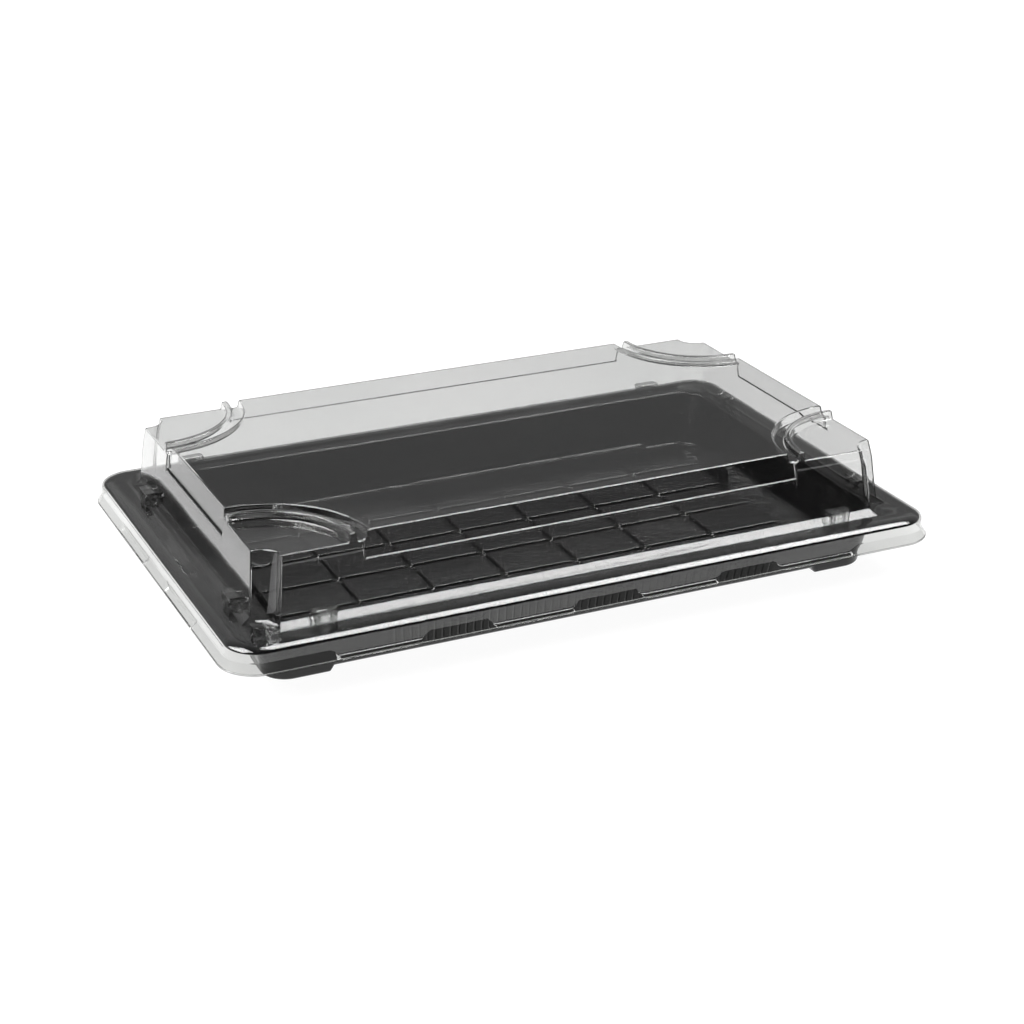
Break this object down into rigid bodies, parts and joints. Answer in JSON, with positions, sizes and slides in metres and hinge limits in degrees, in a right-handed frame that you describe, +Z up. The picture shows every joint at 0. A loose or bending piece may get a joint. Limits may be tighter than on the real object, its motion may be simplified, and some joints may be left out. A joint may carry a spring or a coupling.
{
  "type": "sushi tray with clear lid",
  "caption": "Shallow rectangular takeaway tray, glossy black, with a tiled floor and a flat flange, closed by a clear push-on lid with scooped corners.",
  "frame": {"origin": "centre of the tray's footprint, on the surface that its feet stand on", "axes": "+X along the long side, +Y across the short side, +Z up through the lid"},
  "size_m": [0.2198, 0.1412, 0.0403],
  "materials": {
    "black_plastic": "glossy thermoformed sheet",
    "clear_plastic": "clear thermoformed sheet"
  },
  "bodies": {
    "root": {"base_tray": "black_plastic", "lid": "clear_plastic"}
  },
  "joints": []
}
